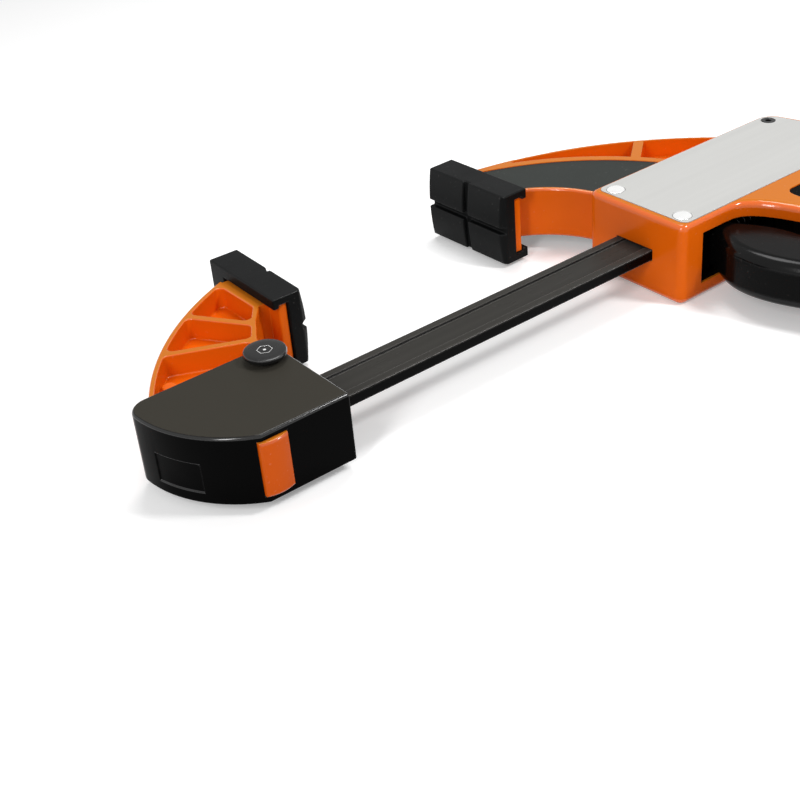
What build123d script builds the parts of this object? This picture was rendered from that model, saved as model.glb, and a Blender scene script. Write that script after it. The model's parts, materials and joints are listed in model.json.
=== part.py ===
import os
from math import atan2, cos, degrees, radians, sin, sqrt, tan

from build123d import *

os.makedirs("parts", exist_ok=True)

# Quick release bar clamp, in millimetres, +Z up.
# The clamp lies on its side: the bar runs along X, both jaws reach towards +Y and the handle
# towards -Y. The origin is on the outer face of the lower side plate, under the bar's centre
# line. Sketches of the sliding body are measured from its front face and sketches of the head
# from its end face, both on the bar's centre line; heights count from the bar's middle plane.

# Bar
bar_width = 20.0
bar_thick = 5.0
bar_channel_width = 12.4
bar_channel_depth = 0.9
bar_channel_angle = 60  # degrees, of its sides
bar_edge_chamfer = 0.4
bar_head_chamfer = 1.5
bar_tail_chamfer = 2.0
bar_in_head = 46.0
bar_tail = 178.0  # past the body's front face, with the jaws as they rest
bar_end_pin_r = 2.0
bar_end_pin_wall = 0.7
bar_end_pin_inset = 5.0
bar_end_pin_out = 3.0  # each side of the bar

# Fits
slide_gap = 0.15  # each side of the bar in the sliding body
socket_gap = 0.05  # each side of the bar in the fixed jaw
pin_gap = 0.05  # radial, for pins and screws
seat_gap = 0.15  # around plates and inlays that sit in a recess
end_gap = 0.1  # at the ends of pins and springs
hole_extra = 0.5  # past the end of a screw
past = 1.0  # how far a cut reaches past the face it starts from

# Sliding body
body_thick = 36.0
body_near = -26.5
body_far = 27.0
body_edge_r = 2.6
body_corner_r = 3.6
body_rear_r = (10.0, 3.0)  # at the two ends of the rear edge
body_rear = ((115.0, 27.0), (129.6, -31.5))
rear_lean = 0.25  # X per Y along the slanted rear edge
handle_rear = ((129.6, -31.5), (112.0, -37.5), (98.0, -47.0), (92.0, -64.0), (94.0, -90.0), (104.0, -119.0))
handle_foot = (84.0, -128.0)
handle_front = (
    (63.0, -112.0), (58.0, -92.0), (51.0, -68.0), (45.0, -48.0), (41.0, -37.5), (33.5, -28.0), (24.0, -26.5)
)
handle_front_ways = ((-0.25, 1), (-1, 0))  # directions of that curve at its ends
handle_foot_r = (5.0, 6.0)  # rear and front
cavity_half = 11.5
cavity_front = 12.0
cavity_low = -20.0
channel_back = ((66.0, -20.0), (66.0, -30.0), (77.0, -48.0), (77.0, -58.0), (82.0, -66.0))
channel_r = 118.0  # from the trigger's pivot
mouth_past = (12.0, 10.0)  # beyond the body's near edge, along x and y
cavity_far = 22.0
cavity_rear = 103.0

# Side plates
plate_thick = 2.0
plate_proud = 0.3
plate_edge_y = 24.6
plate_front = 3.2
plate_rear_top = 112.4
plate_corner_r = 3.2
plate_split = 20.0  # from its front edge, where small corners give way to large ones
plate_rear_r = 8.0
rivet_x = 8.0
rivet_y = 18.7
rivet_head_r = 4.1
rivet_r = 2.4
plate_screws_at = ((107.7, 20.0), (112.8, -19.6))
screw_head_r = 3.4
screw_r = 2.0
screw_length = 10.0
socket_share = 0.8  # of a screw's radius

# Arm of the sliding jaw, as arcs (centre x, centre y, radius)
arm_half = 11.5
arm_edge_r = 1.2
arm_inner = (-34.0, 21.7, 44.9)
arm_mid = (-48.9, -20.7, 117.2)
arm_outer = (-39.1, -78.2, 172.8)
arm_tip_x = -13.5
arm_root_y = 18.0
arm_rim = 2.2
arm_web_half = 3.0
arm_rib = ((45.0, 43.4), (66.5, 61.1))
arm_rib_width = 4.5
pocket_tip_x = 8.0
insert_rim = 1.6
insert_tip_x = -11.0
insert_foot_y = 28.5
insert_depth = 2.6
insert_sink = 0.3
sliding_neck = (-13.0, 13.0)  # along the pad, from its middle

# Jaw pads
pad_length = 49.0
pad_height = 32.6
pad_front_wall = 8.0
pad_depth = 14.8
pad_crown = 1.5  # the face falls back towards its upper and lower edges
pad_gap = 0.2
pad_groove = 3.2
pad_groove_depth = 2.6
pad_end_chamfer = 1.5
pad_face_bevel = (1.4, 2.0)  # along the jaws and upright
pad_back_chamfer = 1.0
pad_tip_wall = 10.5  # closes the pad's slot at the tip
sliding_pad_y = 75.2
fixed_pad_y = 71.6
toe_in = 1.5  # degrees each pad leans towards the other at its tip
head_plate_thick = 3.8
head_plate_height = 25.6
head_plate_inset = 1.5  # from the pad's open end
neck_height = 23.0
neck_past = 3.5  # into the jaw, behind the pad
sliding_face_x = -29.0  # from the body's front face
fixed_face_x = 31.0  # from the head's end face

# Head
cover_half = 13.8
cover_near = -23.7
cover_far = 25.8
cover_arc = (-13.1, 19.0, 48.9)
cover_corner_r = 8.0
cover_wall = 2.2
cover_roof = 2.1
cover_edge_r = 1.2
cover_front_r = 1.0
panel_depth = 0.5
panel_angles = (191.5, 214.0)  # degrees around the round wall
panel_low = -9.5
panel_height = 11.8
jaw_half = 11.5
jaw_outer = (68.9, -43.3, 139.7)
jaw_rim = 2.1
jaw_web_half = 2.5
jaw_block_left = -57.0
jaw_block_right = -2.6
jaw_block_near = -13.5
jaw_block_far = 22.0
jaw_root_y = 20.0
jaw_wall_x = 14.6
jaw_inner_wall = ((-2.6, 27.0), (-0.2, 35.5), (7.1, 47.4), (14.6, 56.5))
jaw_pocket_low = 23.5
jaw_pocket_r = 2.4
jaw_tip_rim = 2.6
jaw_pocket_wall = ((-15.5, 23.5), (-6.5, 28.0), (-2.6, 36.2), (5.0, 48.0), (12.0, 57.6))
jaw_ribs = (((-13.5, 75.0), (6.0, 44.5)), ((-36.0, 53.0), (4.0, 33.0)))
jaw_rib_width = 3.2
jaw_boss_at = (-38.5, 36.5)
jaw_boss_r = 3.0
jaw_boss_half = 7.0
fixed_neck = (-16.0, 12.0)  # along the pad, from its middle
head_screws_at = ((-49.0, -4.0), (-46.0, 17.0), (-9.0, -8.0))
head_screw_r = 1.5
head_screw_head_r = 2.9
head_screw_length = 8.0
jaw_pin_at = (-8.0, 17.0)
jaw_pin_r = 4.0
jaw_disc_r = 8.1
jaw_disc_thick = 2.2
jaw_neck_r = 5.2
jaw_neck_rise = 1.7
jaw_disc_edge_r = 0.6
jaw_socket_r = 3.0
jaw_socket_depth = 1.6
nut_flats = 13.0
nut_thick = 4.0

# Head latch and its button
latch_x = -32.5
latch_thick = 3.0
latch_depth = 2.4  # into the bar's edge
latch_gap = 0.2
latch_half_height = 9.0
latch_travel = 3.5
latch_near = -17.3
latch_far = 13.8
latch_slot_far = 20.8
button_spring_r = 2.2
button_wire = 0.7
button_turns = 4
button_width = 11.5
button_height = 22.0
button_proud = 2.0
button_crown = 1.2  # the middle of its face stands out by this much more than its sides
button_edge_r = 0.9
flange_width = 13.0
flange_shift = 4.0  # towards the bar, where the cover's wall holds the flange
flange_thick = 1.8
flange_step = 0.4

# Handle and trigger
pivot = (30.0, 15.5)
pivot_r = 2.5
hub_r = 6.0
trigger_half = 10.3
trigger_edge_r = 5.0
fork_gap = 3.4
fork_back = ((33.0, -14.0), (33.0, 12.5), (24.4, 15.5))
fork_foot = ((21.0, -22.0), (31.5, -22.0))
nose_at = (32.3, -12.5)
nose_r = 4.0
lever_front = (
    (20.6, -18.0), (19.7, -26.0), (15.7, -33.7), (13.1, -40.0), (12.0, -50.0), (14.0, -62.0), (19.0, -75.0),
    (25.0, -90.0),
)
lever_tip = (31.0, -101.5)
lever_back = (
    (38.0, -92.0), (40.0, -70.0), (42.0, -50.0), (40.5, -42.0), (35.0, -30.0), (31.5, -20.0), (32.0, -18.0)
)
grip_left = ((54.0, -33.5), (53.0, -42.0), (58.0, -65.0), (66.0, -95.0), (70.0, -110.0))
grip_right = ((94.5, -110.0), (88.0, -90.0), (84.0, -64.0), (86.5, -46.0), (92.0, -33.5))
grip_foot = (83.0, -118.0)
grip_depth = 2.2
grip_sink = 0.3
grip_corner_r = 5.0

# Drive and brake plates
drive_x = 36.4
drive_thick = 3.0
plate_half = 10.6
slotted_corner_r = 1.5
drive_low = -17.6
drive_high = 14.0
wall_x = 62.0
wall_thick = 3.0
spring_bar_gap = 1.3
drive_slot = (20.4, 5.6)
drive_spring_r = 3.0
drive_wire = 1.1
drive_turns = 6
brake_fulcrum = (90.0, 17.0)
brake_thick = 3.0
brake_tilt = 3.0  # degrees off upright at rest
brake_slot = (20.35, 5.6)
brake_low = -17.8
brake_rise = 3.5  # past the edge it tilts on
brake_gap = 0.05
brake_spring_x = 91.8
brake_spring_r = 2.5
brake_wire = 0.9
brake_turns = 5

# Release lever
lever_pivot = (98.0, -22.6)
lever_pin_r = 2.0
lever_hub_r = 3.5
lever_half = 6.0
lever_slot = (83.5, -30.0, -15.5)  # start x, near and far y
lever_slot_length = 60.0
lever_gap = 0.5
lever_step_x = (104.0, 106.0)  # far and near side
finger_x = (85.3, 88.0)
finger_top = -14.5
lever_arm_y = (-25.5, -20.0)
tab_end = 134.0
tab_y = (-22.5, -17.5)
tab_r = 2.0

# Derived places
half = body_thick / 2
mid_z = half + plate_proud
front_x = -60.0
face_gap = 164.0
head_x = front_x - face_gap
plate_floor = half + plate_proud - plate_thick
bar_end_pin_x = bar_tail - bar_end_pin_inset
spring_y = -(bar_width / 2 + spring_bar_gap + drive_spring_r)


def body_plane(h=0.0):
    """Plane on the body's front face and the bar's centre line, h above the middle plane."""
    return Plane(origin=(front_x, 0, mid_z + h))


def head_plane(h=0.0):
    """Plane on the head's end face and the bar's centre line, h above the middle plane."""
    return Plane(origin=(head_x, 0, mid_z + h))


def across_plane(x0, x=0.0, y=0.0, h=0.0):
    """Plane that looks along +X, with its own x along Y and its own y along Z."""
    return Plane(origin=(x0 + x, y, mid_z + h), x_dir=(0, 1, 0), z_dir=(1, 0, 0))


def arc_x(arc, y, side=1):
    """X of an arc at height y; side -1 takes its left half."""
    return arc[0] + side * sqrt(arc[2] ** 2 - (y - arc[1]) ** 2)


def arc_y(arc, x):
    """Y of the upper half of an arc at x."""
    return arc[1] + sqrt(arc[2] ** 2 - (x - arc[0]) ** 2)


def grown(arc, amount):
    """The same arc with another radius."""
    return (arc[0], arc[1], arc[2] + amount)


def arc_between(arc, start, end):
    """The short stretch of an arc between two points that lie on it."""
    mx, my = (start[0] + end[0]) / 2 - arc[0], (start[1] + end[1]) / 2 - arc[1]
    k = arc[2] / sqrt(mx**2 + my**2)
    ThreePointArc(start, (arc[0] + mx * k, arc[1] + my * k), end)


def finish(part, name):
    """Label a finished piece and write it."""
    part.label = name
    export_step(part, f"parts/{name}.step")


def coil(radius, wire, length, turns):
    """A compression spring along local +Z, from z = 0 to z = length."""
    with BuildPart() as spring:
        with BuildLine():
            Helix(pitch=(length - wire) / turns, height=length - wire, radius=radius, center=(0, 0, wire / 2))
        with BuildSketch(Plane(origin=(radius, 0, wire / 2), x_dir=(1, 0, 0), z_dir=(0, 1, 0))):
            Circle(wire / 2)
        sweep(is_frenet=True)
    return spring.part


# --- Bar -------------------------------------------------------------------------------------
with BuildPart() as bar:
    with BuildSketch(across_plane(head_x, -bar_in_head)):
        Rectangle(bar_width, bar_thick)
        chamfer(vertices(), bar_edge_chamfer)
        channel_base = bar_channel_width + 2 * bar_channel_depth / tan(radians(bar_channel_angle))
        for side in (1, -1):
            with Locations((0, side * bar_thick / 2)):
                Trapezoid(
                    channel_base, 2 * bar_channel_depth, bar_channel_angle,
                    rotation=180 if side > 0 else 0, mode=Mode.SUBTRACT,
                )
    extrude(amount=bar_in_head + face_gap + bar_tail)
    with BuildSketch(head_plane(-bar_thick)):
        with Locations((latch_x, bar_width / 2)):
            Rectangle(latch_thick + 2 * latch_gap, 2 * latch_depth)
    extrude(amount=2 * bar_thick, mode=Mode.SUBTRACT)
    with BuildSketch(body_plane(-bar_thick)):
        with Locations((bar_end_pin_x, 0)):
            Circle(bar_end_pin_r + pin_gap)
    extrude(amount=2 * bar_thick, mode=Mode.SUBTRACT)
    chamfer(bar.edges().filter_by(Axis.Z).group_by(Axis.X)[-1], bar_tail_chamfer)
    chamfer(bar.edges().filter_by(Axis.Z).group_by(Axis.X)[0], bar_head_chamfer)
finish(bar.part, "bar")

with BuildPart() as bar_end_pin:
    with BuildSketch(body_plane(-bar_thick / 2 - bar_end_pin_out)):
        with Locations((bar_end_pin_x, 0)):
            Circle(bar_end_pin_r)
            Circle(bar_end_pin_r - bar_end_pin_wall, mode=Mode.SUBTRACT)
    extrude(amount=bar_thick + 2 * bar_end_pin_out)
finish(bar_end_pin.part, "bar_end_pin")


# --- Head ------------------------------------------------------------------------------------
def cover_outline(inset=0.0):
    """D-shaped plan of the head cover, moved inwards by inset."""
    arc = grown(cover_arc, -inset)
    near, far, right = cover_near + inset, cover_far - inset, -inset
    near_end, far_end = (arc_x(arc, near, -1), near), (arc_x(arc, far, -1), far)
    with BuildLine() as outline:
        arc_between(arc, near_end, far_end)
        Polyline(far_end, (right, far), (right, near), near_end)
    make_face(outline.edges())
    fillet(vertices().sort_by_distance(far_end)[0], cover_corner_r - inset)


with BuildPart() as head_cover:
    with BuildSketch(head_plane(-cover_half)):
        cover_outline()
    extrude(amount=2 * cover_half)
    fillet(head_cover.edges().filter_by(Axis.Z).group_by(Axis.X)[-1], cover_front_r)
    fillet(head_cover.faces().sort_by(Axis.Z)[-1].edges(), cover_edge_r)
    with BuildSketch(head_plane(-cover_half)):
        cover_outline(cover_wall)
    extrude(amount=2 * cover_half - cover_roof, mode=Mode.SUBTRACT)
    # the jaw's way out through the far wall
    with BuildSketch(head_plane(-cover_half + cover_roof)):
        way_out_left = arc_x(jaw_outer, cover_far - cover_wall, -1) - 2 * seat_gap
        with Locations(((way_out_left - cover_wall) / 2, cover_far)):
            Rectangle(-cover_wall - way_out_left, 2 * cover_wall)
    extrude(amount=2 * (cover_half - cover_roof), mode=Mode.SUBTRACT)
    # bar entry and button window
    with BuildSketch(across_plane(head_x, -cover_wall - past)):
        Rectangle(bar_width + 2 * slide_gap, bar_thick + 2 * slide_gap)
    extrude(amount=cover_wall + 2 * past, mode=Mode.SUBTRACT)
    with BuildSketch(head_plane(-button_height / 2 - seat_gap)):
        with Locations((latch_x, cover_near)):
            Rectangle(button_width + 2 * seat_gap, 6 * cover_wall)
    extrude(amount=button_height + 2 * seat_gap, mode=Mode.SUBTRACT)
    with BuildSketch(head_plane(0)):
        with Locations(jaw_pin_at):
            Circle(jaw_pin_r + pin_gap)
    extrude(amount=cover_half + past, mode=Mode.SUBTRACT)
    # shallow panel in the round wall
    with BuildSketch(head_plane(panel_low)):
        with Locations(cover_arc[:2]):
            Circle(cover_arc[2] + past)
            Circle(cover_arc[2] - panel_depth, mode=Mode.SUBTRACT)
            with BuildLine():
                far_r = 2 * cover_arc[2]
                panel_ends = [(far_r * cos(radians(a)), far_r * sin(radians(a))) for a in panel_angles]
                Polyline((cover_arc[0], cover_arc[1]),
                         *[(cover_arc[0] + px, cover_arc[1] + py) for px, py in panel_ends], close=True)
            make_face(mode=Mode.INTERSECT)
    extrude(amount=panel_height, mode=Mode.SUBTRACT)
finish(head_cover.part, "head_cover")

with BuildPart() as head_base:
    with BuildSketch(head_plane(-cover_half)):
        cover_outline(cover_wall + seat_gap)
    extrude(amount=cover_roof)
    with BuildSketch(head_plane(-cover_half)):
        with Locations(jaw_pin_at):
            Circle(jaw_pin_r + pin_gap)
    extrude(amount=cover_roof, mode=Mode.SUBTRACT)
    with Locations(Plane(origin=(head_x, 0, mid_z - cover_half), x_dir=(1, 0, 0), z_dir=(0, 0, -1))):
        with Locations(*[(x, -y) for x, y in head_screws_at]):
            CounterSinkHole(head_screw_r + pin_gap, head_screw_head_r + pin_gap, counter_sink_angle=90)
finish(head_base.part, "head_base")


def flat_screw(r, head_r, length):
    """A countersunk screw pointing along local +Z, its head's face at z = 0."""
    with BuildPart() as screw:
        with BuildSketch(Plane.XY):
            Circle(head_r)
        extrude(amount=head_r - r, taper=45)
        with BuildSketch(Plane.XY):
            Circle(r)
        extrude(amount=length)
        with BuildSketch(Plane.XY):
            RegularPolygon(r * socket_share, 6)
        extrude(amount=r, mode=Mode.SUBTRACT)
    return screw.part


def strip(start, end, width, mode=Mode.ADD):
    """A straight rib of the given width between two points of a sketch."""
    dx, dy = end[0] - start[0], end[1] - start[1]
    with Locations(((start[0] + end[0]) / 2, (start[1] + end[1]) / 2)):
        Rectangle(sqrt(dx**2 + dy**2), width, rotation=degrees(atan2(dy, dx)), mode=mode)


def pad_plane(face_x, y, side):
    """Plane in the middle of a pad's face: x into the jaw, y towards the pad's tip."""
    lean = radians(toe_in)
    return Plane(origin=(face_x, y, mid_z), x_dir=(side * cos(lean), sin(lean), 0), z_dir=(0, 0, side))


def head_plate(plane, neck_low, neck_high):
    """T-shaped plate that a pad slides on, added to the part in hand."""
    plate_start = pad_front_wall + seat_gap
    neck_start = plate_start + head_plate_thick
    neck_end = pad_depth + neck_past
    plate_low = head_plate_inset - pad_length / 2
    plate_high = pad_length / 2 - pad_tip_wall - pad_gap
    with BuildSketch(plane) as plate:
        with Locations((plate_start + head_plate_thick / 2, (plate_low + plate_high) / 2)):
            Rectangle(head_plate_thick, plate_high - plate_low)
    extrude(plate.sketch, amount=head_plate_height / 2, both=True)
    with BuildSketch(plane) as neck:
        with Locations(((neck_start + neck_end) / 2, (neck_low + neck_high) / 2)):
            Rectangle(neck_end - neck_start, neck_high - neck_low)
    extrude(neck.sketch, amount=neck_height / 2, both=True)


def jaw_pad(plane):
    """Rubber pad of C section, closed at the jaw's tip, with crossed grooves in its face."""
    across = Plane(origin=plane.origin, x_dir=plane.x_dir, z_dir=plane.y_dir)
    slot_end = pad_front_wall + 2 * seat_gap + head_plate_thick
    top, root, face_bevel = pad_height / 2, -pad_length / 2, pad_crown + pad_face_bevel[0]
    side_top, back_top = top - pad_face_bevel[1], top - pad_back_chamfer
    with BuildPart() as pad:
        with BuildSketch(across):
            with BuildLine():
                ThreePointArc((pad_crown, -side_top), (0, 0), (pad_crown, side_top))
                Polyline((pad_crown, side_top), (face_bevel, top), (pad_depth - pad_back_chamfer, top),
                         (pad_depth, back_top), (pad_depth, -back_top), (pad_depth - pad_back_chamfer, -top),
                         (face_bevel, -top), (pad_crown, -side_top))
            make_face()
        extrude(amount=pad_length / 2, both=True)
        with BuildSketch(across.offset(root)):
            with Locations(((pad_front_wall + slot_end) / 2, 0)):
                Rectangle(slot_end - pad_front_wall, head_plate_height + 2 * pad_gap)
            with Locations(((slot_end + pad_depth + past) / 2, 0)):
                Rectangle(pad_depth + past - slot_end, neck_height + 2 * pad_gap)
        extrude(amount=pad_length - pad_tip_wall, mode=Mode.SUBTRACT)
        with BuildSketch(plane):
            with BuildLine():
                Polyline((-past, root - past), (pad_end_chamfer + past, root - past),
                         (-past, root + pad_end_chamfer + past), close=True)
            make_face()
            Rectangle(2 * pad_groove_depth, pad_groove)
        extrude(amount=pad_height / 2, both=True, mode=Mode.SUBTRACT)
        with BuildSketch(plane):
            Rectangle(2 * pad_groove_depth, pad_length)
        extrude(amount=pad_groove / 2, both=True, mode=Mode.SUBTRACT)
    return pad.part


with BuildPart() as fixed_jaw:
    with BuildSketch(head_plane(-jaw_half)):
        cover_outline(cover_wall + 2 * seat_gap)
        with Locations(((jaw_block_left + jaw_block_right) / 2, (jaw_block_near + jaw_block_far) / 2)):
            Rectangle(jaw_block_right - jaw_block_left, jaw_block_far - jaw_block_near, mode=Mode.INTERSECT)
        with BuildLine():
            tip = (jaw_wall_x, arc_y(jaw_outer, jaw_wall_x))
            root = (arc_x(jaw_outer, jaw_root_y, -1), jaw_root_y)
            arc_between(jaw_outer, tip, root)
            Polyline(root, (jaw_block_right, jaw_root_y), *jaw_inner_wall, tip)
        make_face()
    extrude(amount=2 * jaw_half)
    # open pockets between the ribs, on both sides of the web
    for side in (1, -1):
        with BuildSketch(head_plane(side * jaw_web_half)) as pockets:
            with BuildLine():
                inner_arc = grown(jaw_outer, -jaw_rim)
                pocket_tip = (jaw_wall_x - jaw_tip_rim, arc_y(inner_arc, jaw_wall_x - jaw_tip_rim))
                pocket_root = (arc_x(inner_arc, jaw_pocket_low, -1), jaw_pocket_low)
                arc_between(inner_arc, pocket_tip, pocket_root)
                Polyline(pocket_root, *jaw_pocket_wall, pocket_tip)
            make_face()
            for rib in jaw_ribs:
                strip(*rib, jaw_rib_width, mode=Mode.SUBTRACT)
            fillet(pockets.vertices(), jaw_pocket_r)
        extrude(amount=side * jaw_half, mode=Mode.SUBTRACT)
        with BuildSketch(head_plane(0)):
            with Locations(jaw_boss_at):
                Circle(jaw_boss_r)
        extrude(amount=side * jaw_boss_half)
    # bar socket, latch slot, spring pocket and pin bore
    with BuildSketch(across_plane(head_x, -bar_in_head - socket_gap)):
        Rectangle(bar_width + 2 * socket_gap, bar_thick + 2 * socket_gap)
    extrude(amount=bar_in_head, mode=Mode.SUBTRACT)
    with BuildSketch(head_plane(0)):
        with Locations((latch_x, (jaw_block_near - past + latch_slot_far) / 2)):
            Rectangle(latch_thick + 2 * seat_gap, latch_slot_far - jaw_block_near + past)
    extrude(amount=latch_half_height + seat_gap, both=True, mode=Mode.SUBTRACT)
    with BuildSketch(Plane(origin=(head_x + latch_x, latch_far, mid_z), z_dir=(0, 1, 0))):
        Circle(button_spring_r + button_wire)
    extrude(amount=latch_slot_far - latch_far, mode=Mode.SUBTRACT)
    with BuildSketch(head_plane(0)):
        with Locations(jaw_pin_at):
            Circle(jaw_pin_r + pin_gap)
    extrude(amount=cover_half, both=True, mode=Mode.SUBTRACT)
    with BuildSketch(head_plane(-jaw_half)):
        with Locations(*head_screws_at):
            Circle(head_screw_r + pin_gap)
    extrude(amount=head_screw_length - cover_roof + hole_extra, mode=Mode.SUBTRACT)
    head_plate(pad_plane(head_x + fixed_face_x, fixed_pad_y, -1), *fixed_neck)
finish(fixed_jaw.part, "fixed_jaw")

finish(jaw_pad(pad_plane(head_x + fixed_face_x, fixed_pad_y, -1)), "fixed_jaw_pad")

with BuildPart() as head_screws:
    for x, y in head_screws_at:
        add(Location((head_x + x, y, mid_z - cover_half))
            * flat_screw(head_screw_r, head_screw_head_r, head_screw_length))
finish(head_screws.part, "head_screws")

with BuildPart() as jaw_pin:
    with BuildSketch(head_plane(-cover_half - nut_thick)):
        with Locations(jaw_pin_at):
            Circle(jaw_pin_r)
    extrude(amount=2 * cover_half + nut_thick)
    with BuildSketch(head_plane(cover_half)):
        with Locations(jaw_pin_at):
            Circle(jaw_neck_r)
    extrude(amount=jaw_neck_rise)
    with BuildSketch(head_plane(cover_half + jaw_neck_rise)):
        with Locations(jaw_pin_at):
            Circle(jaw_disc_r)
    extrude(amount=jaw_disc_thick)
    fillet(jaw_pin.edges().filter_by(GeomType.CIRCLE).group_by(Axis.Z)[-1], jaw_disc_edge_r)
    with BuildSketch(head_plane(cover_half + jaw_neck_rise + jaw_disc_thick)):
        with Locations(jaw_pin_at):
            RegularPolygon(jaw_socket_r, 6)
    extrude(amount=-jaw_socket_depth, mode=Mode.SUBTRACT)
finish(jaw_pin.part, "jaw_pin")

with BuildPart() as jaw_pin_nut:
    with BuildSketch(head_plane(-cover_half - nut_thick)):
        with Locations(jaw_pin_at):
            RegularPolygon(nut_flats / 2, 6, major_radius=False)
            Circle(jaw_pin_r + pin_gap, mode=Mode.SUBTRACT)
    extrude(amount=nut_thick)
finish(jaw_pin_nut.part, "jaw_pin_nut")

# The latch plate hangs on the bar's far edge; its window clears the bar once the button is in.
with BuildPart() as latch_plate:
    with BuildSketch(across_plane(head_x, latch_x - latch_thick / 2)):
        with Locations(((latch_near + latch_far) / 2, 0)):
            Rectangle(latch_far - latch_near, 2 * latch_half_height)
        window_near = -bar_width / 2 - seat_gap - latch_travel
        window_far = bar_width / 2 - latch_depth + seat_gap
        with Locations(((window_near + window_far) / 2, 0)):
            Rectangle(window_far - window_near, bar_thick + 2 * seat_gap, mode=Mode.SUBTRACT)
    extrude(amount=latch_thick)
finish(latch_plate.part, "latch_plate")

with BuildPart() as release_button:
    button_face, button_side = cover_near - button_proud, cover_near - button_proud + button_crown
    button_left, button_right = latch_x - button_width / 2, latch_x + button_width / 2
    with BuildSketch(head_plane(-button_height / 2)):
        with BuildLine():
            ThreePointArc((button_left, button_side), (latch_x, button_face), (button_right, button_side))
            Polyline((button_right, button_side), (button_right, latch_near), (button_left, latch_near),
                     (button_left, button_side))
        make_face()
    extrude(amount=button_height)
    fillet(release_button.faces().filter_by(GeomType.CYLINDER).edges(), button_edge_r)
    with BuildSketch(head_plane(-button_height / 2 - flange_step)):
        with Locations((latch_x + flange_shift, cover_near + cover_wall + seat_gap + flange_thick / 2)):
            Rectangle(flange_width, flange_thick)
    extrude(amount=button_height + 2 * flange_step)
finish(release_button.part, "release_button")

spring_seat = Plane(origin=(head_x + latch_x, latch_far, mid_z), z_dir=(0, 1, 0))
button_coil = coil(button_spring_r, button_wire, latch_slot_far - latch_far, button_turns)
finish(spring_seat.location * button_coil, "button_spring")


# --- Sliding body ----------------------------------------------------------------------------
def rear_x(y):
    """X of a line that leans like the body's rear edge, from the side plates' top corner."""
    return plate_rear_top + (plate_edge_y - y) * rear_lean


def plate_outline(outset=0.0):
    """Plan of the side plates, in the sketch in hand."""
    far, near = plate_edge_y + outset, -plate_edge_y - outset
    front, split = plate_front - outset, plate_front + plate_split
    with BuildLine() as outline:
        FilletPolyline((front, 0), (front, far), (split, far), radius=plate_corner_r + outset)
        FilletPolyline((split, far), (rear_x(far) + outset, far), (rear_x(0) + outset, 0),
                       radius=plate_rear_r + outset)
        FilletPolyline((rear_x(0) + outset, 0), (rear_x(near) + outset, near), (split, near),
                       radius=plate_rear_r + outset)
        FilletPolyline((split, near), (front, near), (front, 0), radius=plate_corner_r + outset)
    make_face(outline.edges())


def insert_outline(inset=0.0):
    """Plan of the arm's inlay, between its inner rim and its middle rib."""
    inner, outer = grown(arm_inner, insert_rim + inset), grown(arm_mid, -insert_rim - inset)
    x, y = insert_tip_x + inset, insert_foot_y + inset
    corners = ((x, arc_y(inner, x)), (arc_x(inner, y), y), (arc_x(outer, y), y), (x, arc_y(outer, x)))
    with BuildLine() as outline:
        arc_between(inner, corners[0], corners[1])
        Line(corners[1], corners[2])
        arc_between(outer, corners[2], corners[3])
        Line(corners[3], corners[0])
    make_face(outline.edges())


def grip_outline(inset=0.0):
    """Plan of the handle's inlay."""
    top = grip_left[0][1] - inset
    left = [(x + inset, min(y, top)) for x, y in grip_left]
    right = [(x - inset, min(y, top)) for x, y in grip_right]
    with BuildLine() as outline:
        Spline(*left)
        ThreePointArc(left[-1], (grip_foot[0], grip_foot[1] + inset), right[0])
        Spline(*right)
        Line(right[-1], left[0])
    make_face(outline.edges())
    fillet(vertices().group_by(Axis.Y)[-1], grip_corner_r - inset)


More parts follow.
